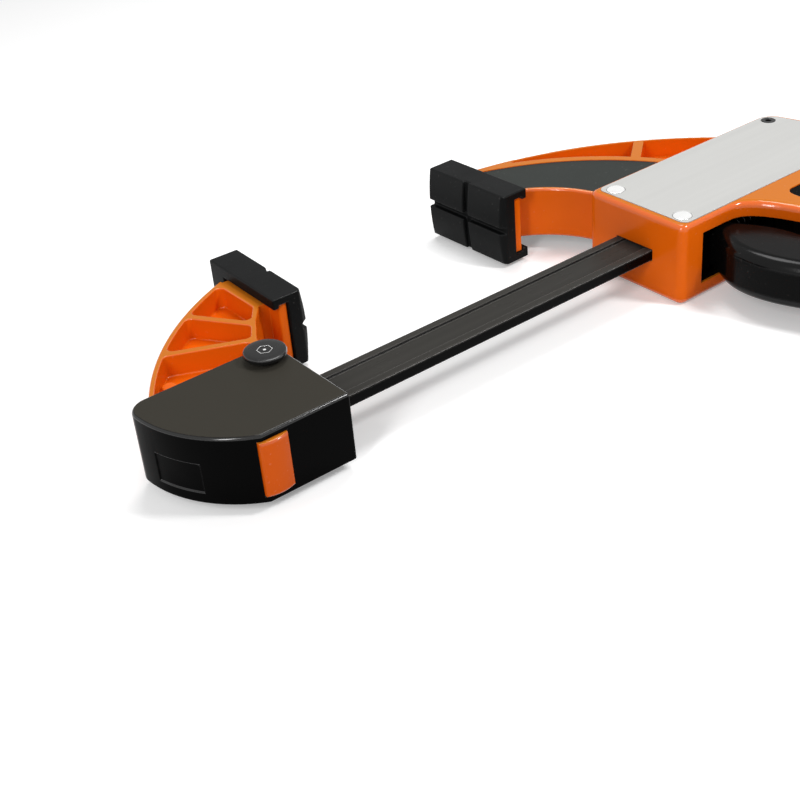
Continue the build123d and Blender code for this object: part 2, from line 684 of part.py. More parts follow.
with BuildPart() as body_frame:
    # arm
    with BuildSketch(body_plane(-arm_half)):
        with BuildLine():
            tip_in, tip_out = (arm_tip_x, arc_y(arm_inner, arm_tip_x)), (arm_tip_x, arc_y(arm_outer, arm_tip_x))
            foot_in, foot_out = (arc_x(arm_inner, body_far), body_far), (arc_x(arm_outer, body_far), body_far)
            arc_between(arm_inner, tip_in, foot_in)
            Polyline(foot_in, (foot_in[0], arm_root_y), (foot_out[0], arm_root_y), foot_out)
            arc_between(arm_outer, foot_out, tip_out)
            Line(tip_out, tip_in)
        make_face()
    extrude(amount=2 * arm_half)
    arm_faces = body_frame.faces().sort_by(Axis.Z)
    fillet(arm_faces[0].edges() + arm_faces[-1].edges(), arm_edge_r)
    # block and handle
    with BuildSketch(body_plane(-half)) as block:
        with BuildLine():
            Polyline((0, body_near), (0, body_far), *body_rear)
            Spline(*handle_rear)
            ThreePointArc(handle_rear[-1], handle_foot, handle_front[0])
            Spline(*handle_front, tangents=handle_front_ways)
            Line(handle_front[-1], (0, body_near))
        make_face()
        corners = block.vertices()
        fillet(corners.group_by(Axis.X)[0], body_corner_r)
        fillet(block.vertices().sort_by_distance(body_rear[0])[0], body_rear_r[0])
        fillet(block.vertices().sort_by_distance(body_rear[1])[0], body_rear_r[1])
        fillet(block.vertices().sort_by_distance(handle_rear[-1])[0], handle_foot_r[0])
        fillet(block.vertices().sort_by_distance(handle_front[0])[0], handle_foot_r[1])
    extrude(amount=2 * half)
    block_faces = body_frame.faces().sort_by(Axis.Z)
    fillet(block_faces[0].edges() + block_faces[-1].edges(), body_edge_r)
    head_plate(pad_plane(front_x + sliding_face_x, sliding_pad_y, 1), *sliding_neck)
    for side in (1, -1):
        # inlay recess and open pocket of the arm
        with BuildSketch(body_plane(side * (arm_half - insert_depth))):
            insert_outline()
        extrude(amount=side * half, mode=Mode.SUBTRACT)
        with BuildSketch(body_plane(side * arm_web_half)):
            low, high = grown(arm_mid, arm_rim), grown(arm_outer, -arm_rim)
            ends = ((pocket_tip_x, arc_y(low, pocket_tip_x)), (arc_x(low, body_far), body_far),
                    (arc_x(high, body_far), body_far), (pocket_tip_x, arc_y(high, pocket_tip_x)))
            with BuildLine():
                arc_between(low, ends[0], ends[1])
                Line(ends[1], ends[2])
                arc_between(high, ends[2], ends[3])
                Line(ends[3], ends[0])
            make_face()
            strip(*arm_rib, arm_rib_width, mode=Mode.SUBTRACT)
        extrude(amount=side * half, mode=Mode.SUBTRACT)
        # side plate recess, with its screw holes
        with BuildSketch(body_plane(side * plate_floor)):
            plate_outline(seat_gap)
        extrude(amount=side * plate_thick, mode=Mode.SUBTRACT)
        with BuildSketch(body_plane(side * plate_floor)):
            with Locations(*plate_screws_at):
                Circle(screw_r + pin_gap)
        extrude(amount=-side * (screw_length - plate_thick + hole_extra), mode=Mode.SUBTRACT)
        # handle inlay recess
        with BuildSketch(body_plane(side * (half - grip_depth))):
            grip_outline()
        extrude(amount=side * half, mode=Mode.SUBTRACT)
    # chambers: trigger and drive plate in front, brake plate behind
    with BuildSketch(body_plane()):
        with BuildLine():
            far_x, end_x = channel_back[-1][0], handle_front[1][0] - mouth_past[0]
            far_y, end_y = (pivot[1] - sqrt(channel_r**2 - (x - pivot[0]) ** 2) for x in (far_x, end_x))
            Polyline((end_x, end_y), (cavity_front, body_near - mouth_past[1]), (cavity_front, cavity_far),
                     (wall_x, cavity_far), (wall_x, cavity_low), *channel_back, (far_x, far_y))
            arc_between((*pivot, channel_r), (far_x, far_y), (end_x, end_y))
        make_face()
        with BuildLine():
            rear_start = wall_x + wall_thick
            Polyline((rear_start, cavity_low), (rear_start, brake_fulcrum[1]), brake_fulcrum,
                     (brake_fulcrum[0], cavity_far), (cavity_rear, cavity_far), (cavity_rear, cavity_low),
                     close=True)
        make_face()
    extrude(amount=cavity_half, both=True, mode=Mode.SUBTRACT)
    slot_start, slot_near, slot_far = lever_slot
    with BuildSketch(body_plane()):
        with Locations((slot_start + lever_slot_length / 2, (slot_near + slot_far) / 2)):
            Rectangle(lever_slot_length, slot_far - slot_near)
    extrude(amount=lever_half + lever_gap, both=True, mode=Mode.SUBTRACT)
    # bar slot and the holes for rivets and pins
    with BuildSketch(across_plane(front_x, -past)):
        Rectangle(bar_width + 2 * slide_gap, bar_thick + 2 * slide_gap)
    extrude(amount=body_rear[1][0] + 2 * past, mode=Mode.SUBTRACT)
    with BuildSketch(body_plane()):
        with Locations((rivet_x, rivet_y), (rivet_x, -rivet_y)):
            Circle(rivet_r + pin_gap)
        with Locations(pivot):
            Circle(pivot_r + pin_gap)
        with Locations(lever_pivot):
            Circle(lever_pin_r + pin_gap)
    extrude(amount=half + past, both=True, mode=Mode.SUBTRACT)
finish(body_frame.part, "body_frame")


def side_plate(side):
    """Steel plate in its recess, on the upper (1) or lower (-1) side."""
    with BuildPart() as plate:
        with BuildSketch(body_plane(side * plate_floor)):
            plate_outline()
        extrude(amount=side * plate_thick)
        with Locations(Plane(origin=(front_x, 0, mid_z + side * (plate_floor + plate_thick)),
                             x_dir=(1, 0, 0), z_dir=(0, 0, side))):
            with Locations((rivet_x, rivet_y), (rivet_x, -rivet_y)):
                CounterSinkHole(rivet_r + pin_gap, rivet_head_r + pin_gap, counter_sink_angle=90)
            with Locations(*[(x, side * y) for x, y in plate_screws_at]):
                CounterSinkHole(screw_r + pin_gap, screw_head_r + pin_gap, counter_sink_angle=90)
    return plate.part


def arm_insert(side):
    """Inlay of the arm, sunk a little below its rims."""
    with BuildPart() as insert:
        with BuildSketch(body_plane(side * (arm_half - insert_depth))):
            insert_outline(seat_gap)
        extrude(amount=side * (insert_depth - insert_sink))
    return insert.part


def grip_inlay(side):
    """Inlay of the handle."""
    with BuildPart() as inlay:
        with BuildSketch(body_plane(side * (half - grip_depth))):
            grip_outline(seat_gap)
        extrude(amount=side * (grip_depth - grip_sink))
    return inlay.part


for side, place in ((1, "upper"), (-1, "lower")):
    finish(side_plate(side), f"side_plate_{place}")
    finish(arm_insert(side), f"arm_insert_{place}")
    finish(grip_inlay(side), f"grip_inlay_{place}")

finish(jaw_pad(pad_plane(front_x + sliding_face_x, sliding_pad_y, 1)), "sliding_jaw_pad")

with BuildPart() as plate_rivets:
    with BuildSketch(body_plane()):
        with Locations((rivet_x, rivet_y), (rivet_x, -rivet_y)):
            Circle(rivet_r)
    extrude(amount=half + plate_proud, both=True)
    for side in (1, -1):
        with BuildSketch(body_plane(side * (half + plate_proud))):
            with Locations((rivet_x, rivet_y), (rivet_x, -rivet_y)):
                Circle(rivet_head_r)
        extrude(amount=side * (rivet_r - rivet_head_r), taper=45)
finish(plate_rivets.part, "plate_rivets")

with BuildPart() as plate_screws:
    for side in (1, -1):
        seat = Plane(origin=(front_x, 0, mid_z + side * (half + plate_proud)), x_dir=(1, 0, 0),
                     z_dir=(0, 0, -side))
        for x, y in plate_screws_at:
            add(seat.location * Location((x, -side * y, 0)) * flat_screw(screw_r, screw_head_r, screw_length))
finish(plate_screws.part, "plate_screws")


# --- Trigger and its drive plate ---------------------------------------------------------------
with BuildPart() as trigger:
    with BuildSketch(body_plane()):
        with BuildLine():
            Spline(*lever_front)
            ThreePointArc(lever_front[-1], lever_tip, lever_back[0])
            Spline(*lever_back)
            Line(lever_back[-1], lever_front[0])
        make_face()
    extrude(amount=trigger_half, both=True)
    fillet(trigger.faces().filter_by(Axis.Z).edges().filter_by(GeomType.LINE, reverse=True), trigger_edge_r)
    # fork around the bar, with a round nose that pushes the drive plate
    for side in (1, -1):
        with BuildSketch(body_plane(side * fork_gap)):
            with Locations(pivot):
                Circle(hub_r)
            with Locations(nose_at):
                Circle(nose_r)
            with BuildLine():
                Polyline(lever_back[-1], *fork_back, lever_front[0], *fork_foot, close=True)
            make_face()
        extrude(amount=side * (trigger_half - fork_gap))
    with BuildSketch(body_plane()):
        with Locations(pivot):
            Circle(pivot_r + pin_gap)
    extrude(amount=trigger_half, both=True, mode=Mode.SUBTRACT)
finish(trigger.part, "trigger")


def cross_pin(at, r):
    """Steel pin from one side plate to the other."""
    with BuildPart() as pin:
        with BuildSketch(body_plane()):
            with Locations(at):
                Circle(r)
        extrude(amount=plate_floor - end_gap, both=True)
    return pin.part


def slotted_plate(plane, low, high, slot_at, slot, thick):
    """Flat steel plate around the bar; its plane looks along +X and starts at y = 0 of its sketch."""
    with BuildPart() as plate:
        with BuildSketch(plane) as outline:
            with Locations(((low + high) / 2, 0)):
                Rectangle(high - low, 2 * plate_half)
            fillet(outline.vertices(), slotted_corner_r)
            with Locations((slot_at, 0)):
                Rectangle(*slot, mode=Mode.SUBTRACT)
        extrude(amount=thick)
    return plate.part


def spring_along_x(x, length, r, wire, turns):
    """Spring beside the bar, starting at x of the sliding body."""
    seat = Plane(origin=(front_x + x, spring_y, mid_z), x_dir=(0, 1, 0), z_dir=(1, 0, 0))
    return seat.location * coil(r, wire, length, turns)


finish(cross_pin(pivot, pivot_r), "trigger_pin")
drive_plane = across_plane(front_x, drive_x)
finish(slotted_plate(drive_plane, drive_low, drive_high, 0, drive_slot, drive_thick), "drive_plate")
drive_spring_x = drive_x + drive_thick + end_gap
drive_spring = spring_along_x(drive_spring_x, wall_x - drive_spring_x, drive_spring_r, drive_wire, drive_turns)
finish(drive_spring, "drive_spring")


# --- Brake plate and release lever -------------------------------------------------------------
tilt = radians(brake_tilt)
brake_plane = Plane(
    origin=(front_x + brake_fulcrum[0] + brake_gap, brake_fulcrum[1], mid_z),
    x_dir=(sin(tilt), cos(tilt), 0), z_dir=(cos(tilt), -sin(tilt), 0),
)
brake_reach = brake_low - brake_fulcrum[1]
brake_plate = slotted_plate(brake_plane, brake_reach, brake_rise, -brake_fulcrum[1], brake_slot, brake_thick)
finish(brake_plate, "brake_plate")
brake_length = cavity_rear - brake_spring_x
finish(spring_along_x(brake_spring_x, brake_length, brake_spring_r, brake_wire, brake_turns), "brake_spring")

with BuildPart() as release_lever:
    with BuildSketch(body_plane()) as lever:
        with Locations(lever_pivot):
            Circle(lever_hub_r)
        with BuildLine():
            Polyline((finger_x[0], lever_arm_y[0]), (finger_x[0], finger_top), (finger_x[1], finger_top),
                     (finger_x[1], lever_arm_y[1]), (lever_pivot[0], lever_arm_y[1]),
                     (lever_step_x[0], tab_y[1]), (tab_end, tab_y[1]), (tab_end, tab_y[0]),
                     (lever_step_x[1], tab_y[0]), (lever_pivot[0], lever_arm_y[0]), close=True)
        make_face()
        fillet(lever.vertices().group_by(Axis.X)[-1], tab_r)
    extrude(amount=lever_half, both=True)
    with BuildSketch(body_plane()):
        with Locations(lever_pivot):
            Circle(lever_pin_r + pin_gap)
    extrude(amount=lever_half, both=True, mode=Mode.SUBTRACT)
finish(release_lever.part, "release_lever")

finish(cross_pin(lever_pivot, lever_pin_r), "release_pin")
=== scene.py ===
import json
import math
import bmesh
import bpy
from mathutils import Matrix, Vector


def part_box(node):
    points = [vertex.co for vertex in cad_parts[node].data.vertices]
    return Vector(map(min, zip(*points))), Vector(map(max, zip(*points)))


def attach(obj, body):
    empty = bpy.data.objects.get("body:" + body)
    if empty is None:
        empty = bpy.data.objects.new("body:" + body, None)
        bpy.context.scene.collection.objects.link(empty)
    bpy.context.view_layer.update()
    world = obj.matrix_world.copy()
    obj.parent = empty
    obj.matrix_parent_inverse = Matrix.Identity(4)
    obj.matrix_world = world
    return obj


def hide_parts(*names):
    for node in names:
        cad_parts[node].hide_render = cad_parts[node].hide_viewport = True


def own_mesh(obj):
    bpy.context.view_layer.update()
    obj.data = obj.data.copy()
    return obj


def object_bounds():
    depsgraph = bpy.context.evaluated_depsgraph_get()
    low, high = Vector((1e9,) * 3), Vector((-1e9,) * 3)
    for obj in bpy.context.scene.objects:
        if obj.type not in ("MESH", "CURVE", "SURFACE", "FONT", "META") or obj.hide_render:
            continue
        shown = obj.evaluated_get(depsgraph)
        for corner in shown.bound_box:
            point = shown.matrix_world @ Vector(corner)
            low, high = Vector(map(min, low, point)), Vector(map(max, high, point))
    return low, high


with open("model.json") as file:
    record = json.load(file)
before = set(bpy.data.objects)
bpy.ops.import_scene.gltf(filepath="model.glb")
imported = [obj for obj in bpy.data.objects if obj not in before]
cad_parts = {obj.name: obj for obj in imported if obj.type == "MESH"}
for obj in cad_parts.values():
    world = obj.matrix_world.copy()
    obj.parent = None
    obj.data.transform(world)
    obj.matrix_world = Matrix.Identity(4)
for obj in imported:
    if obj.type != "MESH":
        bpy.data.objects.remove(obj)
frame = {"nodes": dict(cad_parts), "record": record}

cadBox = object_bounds()
mm = 0.001

# camera
view = {
    "place": (-0.443276, -0.366243, 0.288012),  # metres
    "azimuth": -35.013,  # degrees, from looking along +Y
    "elevation": 32.694,
    "roll": -5.551,
    "lens": 62.703, "sensor": 36,  # millimetres
    "nearest": 0.01,  # metres, nothing nearer is seen
}


def addCamera(v):
    a, e, r = (math.radians(v[k]) for k in ("azimuth", "elevation", "roll"))
    back = Vector((math.sin(a) * math.cos(e), -math.cos(a) * math.cos(e), math.sin(e)))
    level = (-back).cross(Vector((0, 0, 1))).normalized()
    up = back.cross(level)
    right = math.cos(r) * level + math.sin(r) * up
    up = back.cross(right)
    turn = Matrix((right, up, back)).transposed().to_4x4()
    data = bpy.data.cameras.new("camera")
    data.lens = v["lens"]
    data.sensor_width = v["sensor"]
    data.clip_start = v["nearest"]
    camera = bpy.data.objects.new("camera", data)
    camera.matrix_world = Matrix.Translation(v["place"]) @ turn
    bpy.context.scene.collection.objects.link(camera)
    bpy.context.scene.camera = camera


addCamera(view)
print("camera placed")


# node groups
def newGroup(name, inputs, outputs):
    group = bpy.data.node_groups.new(name, "ShaderNodeTree")
    for label, kind, value in inputs:
        socket = group.interface.new_socket(name=label, in_out="INPUT", socket_type=kind)
        if value is not None:
            socket.default_value = value
    for label, kind in outputs:
        group.interface.new_socket(name=label, in_out="OUTPUT", socket_type=kind)
    return group, group.nodes.new("NodeGroupInput"), group.nodes.new("NodeGroupOutput")


def addNode(tree, kind, **settings):
    node = tree.nodes.new("ShaderNode" + kind)
    for key, value in settings.items():
        if hasattr(node, key):
            setattr(node, key, value)
        else:
            node.inputs[key.replace("_", " ")].default_value = value
    return node


def mathNode(tree, operation, a, b=None, clamp=False):
    node = tree.nodes.new("ShaderNodeMath")
    node.operation = operation
    node.use_clamp = clamp
    for socket, value in zip(node.inputs, (a, b)):
        if value is None:
            continue
        if isinstance(value, (int, float)):
            socket.default_value = value
        else:
            tree.links.new(value, socket)
    return node.outputs[0]


def makeGrainGroup():
    # fine moulded grain over a slow waviness, as a height
    group, start, end = newGroup(
        "mouldGrain",
        [("Vector", "NodeSocketVector", None), ("Grain Scale", "NodeSocketFloat", 900.0),
         ("Wave Scale", "NodeSocketFloat", 60.0), ("Wave Share", "NodeSocketFloat", 0.4)],
        [("Height", "NodeSocketFloat")])
    links = group.links
    grain = addNode(group, "TexNoise", Detail=2.0, Roughness=0.55)
    wave = addNode(group, "TexNoise", Detail=1.0, Roughness=0.4)
    for node, scale in ((grain, "Grain Scale"), (wave, "Wave Scale")):
        links.new(start.outputs["Vector"], node.inputs["Vector"])
        links.new(start.outputs[scale], node.inputs["Scale"])
    mix = addNode(group, "Mix")
    links.new(start.outputs["Wave Share"], mix.inputs[0])
    links.new(grain.outputs[0], mix.inputs[2])
    links.new(wave.outputs[0], mix.inputs[3])
    links.new(mix.outputs[0], end.inputs["Height"])
    return group


def makeEdgeWearAndHighlightGroup():
    # 1 on outer edges that hands and benches have rubbed, 0 elsewhere; on the bar, kept unbroken, it
    # paints a highlight along its edges
    group, start, end = newGroup(
        "edgeWearAndHighlight",
        [("Vector", "NodeSocketVector", None), ("Radius", "NodeSocketFloat", 0.0006),
         ("Amount", "NodeSocketFloat", 1.0), ("Break Scale", "NodeSocketFloat", 260.0),
         ("Even", "NodeSocketFloat", 0.0), ("Gain", "NodeSocketFloat", 9.0)],
        [("Mask", "NodeSocketFloat"), ("Normal", "NodeSocketVector")])
    links = group.links
    soft = addNode(group, "Bevel", samples=6)
    links.new(start.outputs["Radius"], soft.inputs["Radius"])
    flat = addNode(group, "NewGeometry")
    dot = group.nodes.new("ShaderNodeVectorMath")
    dot.operation = "DOT_PRODUCT"
    links.new(soft.outputs[0], dot.inputs[0])
    links.new(flat.outputs["Normal"], dot.inputs[1])
    turned = mathNode(group, "SUBTRACT", 1.0, dot.outputs["Value"])
    breakup = addNode(group, "TexNoise", Detail=3.0, Roughness=0.6)
    links.new(start.outputs["Vector"], breakup.inputs["Vector"])
    links.new(start.outputs["Break Scale"], breakup.inputs["Scale"])
    gate = addNode(group, "MapRange", From_Min=0.42, From_Max=0.62)
    links.new(breakup.outputs[0], gate.inputs["Value"])
    edge = mathNode(group, "MULTIPLY", turned, start.outputs["Gain"], clamp=True)
    kept = mathNode(group, "MAXIMUM", gate.outputs[0], start.outputs["Even"])
    broken = mathNode(group, "MULTIPLY", edge, kept)
    mask = mathNode(group, "MULTIPLY", broken, start.outputs["Amount"], clamp=True)
    links.new(mask, end.inputs["Mask"])
    links.new(soft.outputs[0], end.inputs["Normal"])
    return group


def makeSmudgeGroup():
    # slow patches that vary colour and gloss, with small dust specks
    group, start, end = newGroup(
        "smudge",
        [("Vector", "NodeSocketVector", None), ("Patch Scale", "NodeSocketFloat", 22.0),
         ("Speck Scale", "NodeSocketFloat", 700.0), ("Low", "NodeSocketFloat", 0.3),
         ("High", "NodeSocketFloat", 0.5)],
        [("Value", "NodeSocketFloat"), ("Patch", "NodeSocketFloat"), ("Specks", "NodeSocketFloat")])
    links = group.links
    patch = addNode(group, "TexNoise", Detail=4.0, Roughness=0.62)
    links.new(start.outputs["Vector"], patch.inputs["Vector"])
    links.new(start.outputs["Patch Scale"], patch.inputs["Scale"])
    spread = addNode(group, "MapRange", From_Min=0.3, From_Max=0.7)
    links.new(patch.outputs[0], spread.inputs["Value"])
    links.new(start.outputs["Low"], spread.inputs["To Min"])
    links.new(start.outputs["High"], spread.inputs["To Max"])
    speck = addNode(group, "TexNoise", Detail=1.0)
    links.new(start.outputs["Vector"], speck.inputs["Vector"])
    links.new(start.outputs["Speck Scale"], speck.inputs["Scale"])
    dots = addNode(group, "MapRange", From_Min=0.70, From_Max=0.78)
    links.new(speck.outputs[0], dots.inputs["Value"])
    links.new(spread.outputs[0], end.inputs["Value"])
    links.new(patch.outputs[0], end.inputs["Patch"])
    links.new(dots.outputs[0], end.inputs["Specks"])
    return group


def makeBrushGroup():
    # long fine lines along X, from drawing or brushing
    group, start, end = newGroup(
        "brushLines",
        [("Vector", "NodeSocketVector", None), ("Line Scale", "NodeSocketFloat", 1400.0),
         ("Stretch", "NodeSocketFloat", 0.015), ("Coarse Share", "NodeSocketFloat", 0.18)],
        [("Height", "NodeSocketFloat"), ("Streak", "NodeSocketFloat")])
    links = group.links
    squeeze = addNode(group, "CombineXYZ", Y=1.0, Z=1.0)
    links.new(start.outputs["Stretch"], squeeze.inputs["X"])
    long = group.nodes.new("ShaderNodeVectorMath")
    long.operation = "MULTIPLY"
    links.new(start.outputs["Vector"], long.inputs[0])
    links.new(squeeze.outputs[0], long.inputs[1])
    fine = addNode(group, "TexNoise", Detail=3.0, Roughness=0.7)
    links.new(long.outputs[0], fine.inputs["Vector"])
    links.new(start.outputs["Line Scale"], fine.inputs["Scale"])
    coarse = addNode(group, "TexNoise", Detail=2.0)
    links.new(long.outputs[0], coarse.inputs["Vector"])
    broad = mathNode(group, "MULTIPLY", start.outputs["Line Scale"], start.outputs["Coarse Share"])
    links.new(broad, coarse.inputs["Scale"])
    links.new(fine.outputs[0], end.inputs["Height"])
    links.new(coarse.outputs[0], end.inputs["Streak"])
    return group


def makeRoundGroup():
    # 1 on rounded edges, 0 on walls and flat roofs
    group, start, end = newGroup(
        "roundedEdge",
        [("Gain", "NodeSocketFloat", 8.0), ("Wall", "NodeSocketFloat", 0.06),
         ("Roof", "NodeSocketFloat", 0.985)],
        [("Mask", "NodeSocketFloat")])
    parts = group.nodes.new("ShaderNodeSeparateXYZ")
    group.links.new(group.nodes.new("ShaderNodeNewGeometry").outputs["Normal"], parts.inputs[0])
    upright = mathNode(group, "ABSOLUTE", parts.outputs["Z"])
    belowRoof = mathNode(group, "SUBTRACT", start.outputs["Roof"], upright, clamp=True)
    aboveWall = mathNode(group, "SUBTRACT", upright, start.outputs["Wall"], clamp=True)
    turning = mathNode(group, "MULTIPLY", aboveWall, belowRoof)
    mask = mathNode(group, "MULTIPLY", turning, start.outputs["Gain"], clamp=True)
    group.links.new(mask, end.inputs["Mask"])
    return group


def makeInsideGroup():
    # 1 inside a box, 0 outside it
    group, start, end = newGroup(
        "insideBox",
        [("Vector", "NodeSocketVector", None), ("Centre", "NodeSocketVector", (0, 0, 0)),
         ("Half Size", "NodeSocketVector", (0.01, 0.01, 0.01))],
        [("Mask", "NodeSocketFloat")])
    offset = start.outputs["Vector"]
    for operation, other in (("SUBTRACT", "Centre"), ("ABSOLUTE", None), ("SUBTRACT", "Half Size")):
        node = group.nodes.new("ShaderNodeVectorMath")
        node.operation = operation
        group.links.new(offset, node.inputs[0])
        if other:
            group.links.new(start.outputs[other], node.inputs[1])
        offset = node.outputs[0]
    parts = group.nodes.new("ShaderNodeSeparateXYZ")
    group.links.new(offset, parts.inputs[0])
    level = mathNode(group, "MAXIMUM", parts.outputs[0], parts.outputs[1])
    furthest = mathNode(group, "MAXIMUM", level, parts.outputs[2])
    group.links.new(mathNode(group, "LESS_THAN", furthest, 0.0), end.inputs["Mask"])
    return group


def makeOuterGroup(middle, reach):
    # 1 on level faces that lie further than reach above or below the middle height, 0 elsewhere
    group, start, end = newGroup(
        "outerFace",
        [("Vector", "NodeSocketVector", None), ("Middle", "NodeSocketFloat", middle),
         ("Reach", "NodeSocketFloat", reach)],
        [("Mask", "NodeSocketFloat")])
    heights = []
    for source in (group.nodes.new("ShaderNodeNewGeometry").outputs["Normal"], start.outputs["Vector"]):
        parts = group.nodes.new("ShaderNodeSeparateXYZ")
        group.links.new(source, parts.inputs[0])
        heights.append(parts.outputs["Z"])
    away = mathNode(group, "ABSOLUTE", mathNode(group, "SUBTRACT", heights[1], start.outputs["Middle"]))
    far = mathNode(group, "GREATER_THAN", away, start.outputs["Reach"])
    level = addNode(group, "MapRange", From_Min=0.80, From_Max=0.97)
    group.links.new(mathNode(group, "ABSOLUTE", heights[0]), level.inputs["Value"])
    group.links.new(mathNode(group, "MULTIPLY", level.outputs[0], far), end.inputs["Mask"])
    return group


midHeight = (cadBox[0].z + cadBox[1].z) / 2
outerReach = 9 * mm
grainGroup = makeGrainGroup()
outerGroup = makeOuterGroup(midHeight, outerReach)
roundGroup = makeRoundGroup()
insideGroup = makeInsideGroup()
edgeWearAndHighlightGroup = makeEdgeWearAndHighlightGroup()
smudgeGroup = makeSmudgeGroup()
brushGroup = makeBrushGroup()
print("node groups made")


# materials
surfaces = {
    "dust": (0.6, 0.58, 0.54),
    "rubbedRough": 0.12,  # added where edges are rubbed
    "edgeGloss": 0.14,  # roughness of the shine on rounded edges
    # painted light: the bar's wide faces are painted lighter than its near black sides
    "wideFacing": 0.95,  # how upright a face's normal is on the polished faces of the bar
    "roofFacing": (0.93, 0.99),  # between these the cover's wall turns into its roof
    "coverPatches": (-0.04, 0.05),  # roughness that patches take and add
}


def useGroup(tree, group, **values):
    node = tree.nodes.new("ShaderNodeGroup")
    node.node_tree = group
    for key, value in values.items():
        node.inputs[key.replace("_", " ")].default_value = value
    return node


def mixColour(tree, factor, first, second):
    node = tree.nodes.new("ShaderNodeMix")
    node.data_type = "RGBA"
    for socket, value in ((node.inputs[0], factor), (node.inputs[6], first), (node.inputs[7], second)):
        if isinstance(value, (tuple, list)):
            socket.default_value = (*value, 1.0)
        elif isinstance(value, (int, float)):
            socket.default_value = value
        else:
            tree.links.new(value, socket)
    return node.outputs[2]


def startMaterial(name):
    material = bpy.data.materials.new(name)
    material.use_nodes = True
    tree = material.node_tree
    place = tree.nodes.new("ShaderNodeTexCoord").outputs["Object"]
    return material, tree, tree.nodes["Principled BSDF"], place


def addBump(tree, shader, height, strength, distance, normal):
    bump = tree.nodes.new("ShaderNodeBump")
    tree.links.new(normal, bump.inputs["Normal"])
    bump.inputs["Strength"].default_value = strength
    bump.inputs["Distance"].default_value = distance
    tree.links.new(height, bump.inputs["Height"])
    tree.links.new(bump.outputs[0], shader.inputs["Normal"])


def addEdgeShine(tree, shader, amount):
    # rounded edges are smoother than the faces beside them
    if amount == 0:
        return
    rounded = useGroup(tree, roundGroup)
    shine = mathNode(tree, "MULTIPLY", rounded.outputs["Mask"], amount)
    tree.links.new(shine, shader.inputs["Coat Weight"])
    shader.inputs["Coat Roughness"].default_value = surfaces["edgeGloss"]


def mouldedPlastic(name, s):
    # moulded plastic: body colour, paler rubbed edges, uneven gloss and a fine skin, with painted light
    # on the level outer faces and painted shade in listed chambers
    material, tree, shader, place = startMaterial(name)
    low, high = s["gloss"]
    smudge = useGroup(tree, smudgeGroup, Patch_Scale=s["patchScale"], Low=low, High=high)
    edgeTint = useGroup(tree, edgeWearAndHighlightGroup, Radius=s["edgeTintRadius"], Amount=s["edgeTint"])
    grain = useGroup(tree, grainGroup, Grain_Scale=s["grainScale"], Wave_Scale=s["waveScale"],
                     Wave_Share=s["waveShare"])
    for node in (smudge, edgeTint, grain):
        tree.links.new(place, node.inputs["Vector"])
    body = mixColour(tree, smudge.outputs["Patch"], s["deep"], s["light"])
    if "paintedLevelLight" in s:
        # painted light: the level outer faces, above and below, are painted paler than the walls and
        # pockets
        outer = useGroup(tree, outerGroup)
        tree.links.new(place, outer.inputs["Vector"])
        body = mixColour(tree, outer.outputs["Mask"], body, s["paintedLevelLight"])
    edgeTinted = mixColour(tree, edgeTint.outputs["Mask"], body, s["edge"])
    dust = mathNode(tree, "MULTIPLY", smudge.outputs["Specks"], s["dust"])
    dustAndPaintedShade = mixColour(tree, dust, edgeTinted, surfaces["dust"])
    # painted shade: inside each listed chamber box the colour is painted near black
    for centre, size in s.get("chambers", ()):
        inside = useGroup(tree, insideGroup, Centre=centre, Half_Size=size)
        tree.links.new(place, inside.inputs["Vector"])
        dustAndPaintedShade = mixColour(tree, inside.outputs["Mask"], dustAndPaintedShade, s["paintedShade"])
    tree.links.new(dustAndPaintedShade, shader.inputs["Base Color"])
    duller = mathNode(tree, "MULTIPLY", edgeTint.outputs["Mask"], surfaces["rubbedRough"])
    rough = mathNode(tree, "ADD", smudge.outputs["Value"], duller)
    tree.links.new(rough, shader.inputs["Roughness"])
    addEdgeShine(tree, shader, s["edgeShine"])
    shader.inputs["Specular IOR Level"].default_value = s["shine"]
    addBump(tree, shader, grain.outputs["Height"], s["bump"], s["bumpHeight"], edgeTint.outputs["Normal"])
    return material


def drawnMetal(name, s):
    # rolled or brushed metal with lines along X
    material, tree, shader, place = startMaterial(name)
    brush = useGroup(tree, brushGroup, Line_Scale=s["lineScale"], Stretch=s["stretch"])
    low, high = s["gloss"]
    smudge = useGroup(tree, smudgeGroup, Patch_Scale=s["patchScale"], Low=low, High=high)
    edgeTint = useGroup(tree, edgeWearAndHighlightGroup, Radius=s["edgeTintRadius"], Amount=s["edgeTint"], Even=s["even"])
    for node in (brush, smudge, edgeTint):
        tree.links.new(place, node.inputs["Vector"])
    body = mixColour(tree, brush.outputs["Streak"], s["deep"], s["light"])
    if "narrow" in s:
        # painted light: the wide faces take the lighter streaked colour and the narrow faces are painted
        # near black, as painted shade
        facing = tree.nodes.new("ShaderNodeSeparateXYZ")
        tree.links.new(tree.nodes.new("ShaderNodeNewGeometry").outputs["True Normal"], facing.inputs[0])
        upright = mathNode(tree, "ABSOLUTE", facing.outputs["Z"])
        wide = mathNode(tree, "GREATER_THAN", upright, surfaces["wideFacing"])
        body = mixColour(tree, wide, s["narrow"], body)
    # edge colour: rubbed wear on most metals, a painted highlight on the bar's edges
    edgeTinted = mixColour(tree, edgeTint.outputs["Mask"], body, s["edge"])
    tree.links.new(edgeTinted, shader.inputs["Base Color"])
    offMiddle = mathNode(tree, "SUBTRACT", brush.outputs["Height"], 0.5)
    streaks = mathNode(tree, "MULTIPLY", offMiddle, s["streakGloss"])
    tree.links.new(mathNode(tree, "ADD", smudge.outputs["Value"], streaks), shader.inputs["Roughness"])
    shader.inputs["Metallic"].default_value = s["metallic"]
    addEdgeShine(tree, shader, s["edgeShine"])
    shader.inputs["Specular IOR Level"].default_value = s["shine"]
    addBump(tree, shader, brush.outputs["Height"], s["bump"], s["bumpHeight"], edgeTint.outputs["Normal"])
    return material


